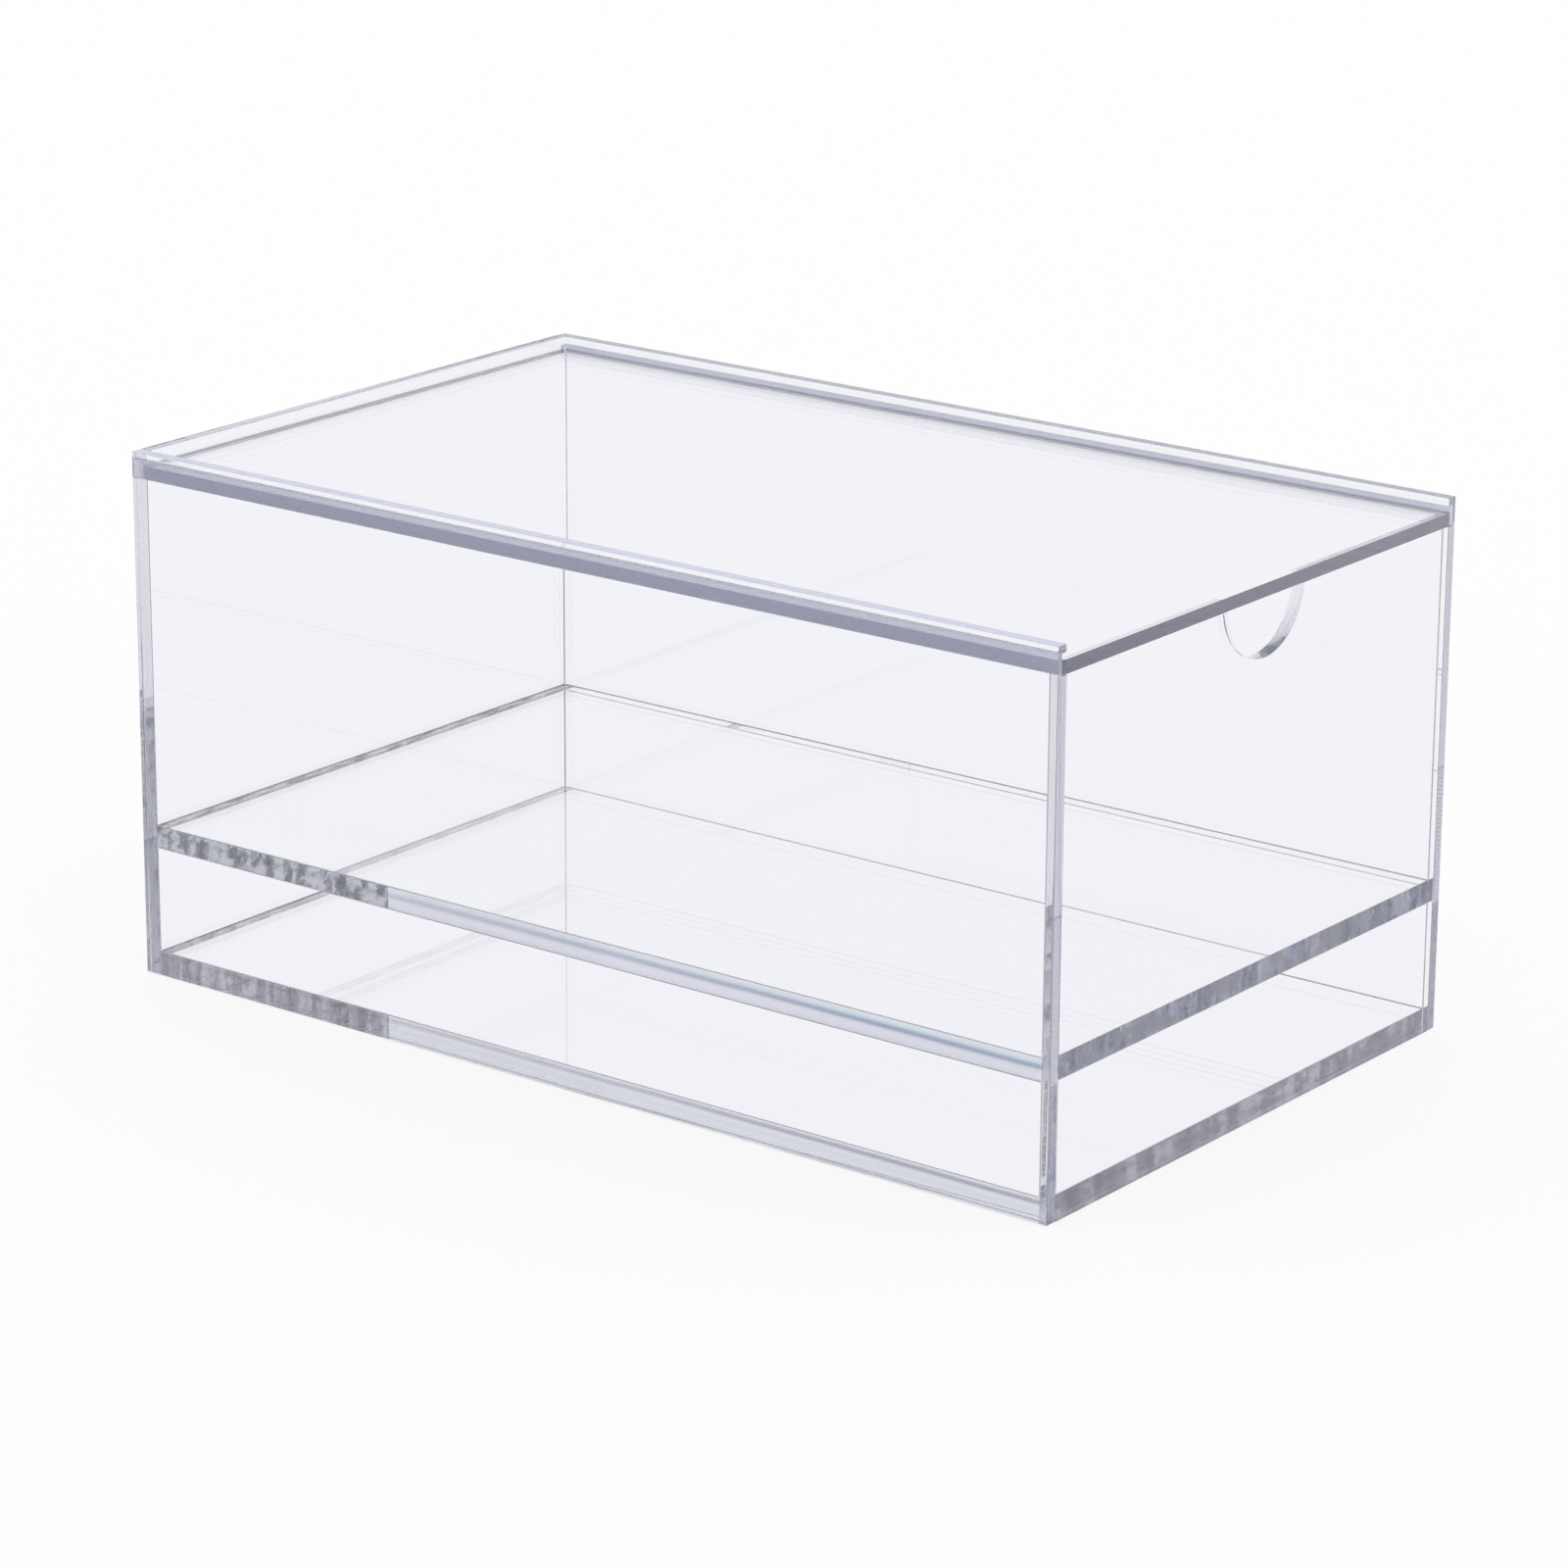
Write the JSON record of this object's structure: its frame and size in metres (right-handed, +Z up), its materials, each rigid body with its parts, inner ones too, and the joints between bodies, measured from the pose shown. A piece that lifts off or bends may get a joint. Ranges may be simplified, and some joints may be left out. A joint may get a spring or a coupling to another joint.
{
  "type": "acrylic storage box",
  "caption": "Clear rectangular box of glued flat sheets with a lid that slides out in grooves over one end, a half-round thumb notch under it and a raised inner floor.",
  "frame": {"origin": "middle of the box's underside, where it rests on the table", "axes": "+X along the length, towards the end where the lid slides out; +Y from the front wall to the back wall; +Z up"},
  "size_m": [0.25, 0.15, 0.122],
  "materials": {
    "clear_acrylic": "clear cast acrylic sheet, polished faces, saw-cut and polished edges, faint cool tint seen edge on",
    "lid_acrylic": "clear cast acrylic sheet, polished faces, darker violet-grey when seen edge on"
  },
  "bodies": {
    "box": {"base_plate": "clear_acrylic", "front_wall": "clear_acrylic", "back_wall": "clear_acrylic", "left_end_wall": "clear_acrylic", "right_end_wall": "clear_acrylic", "shelf_plate": "clear_acrylic"},
    "lid": {"lid": "lid_acrylic"}
  },
  "joints": [
    {"name": "lid_slide", "type": "slide", "parent": "box", "child": "lid", "axis": [1, 0, 0], "range_m": [0, 0.25]}
  ]
}
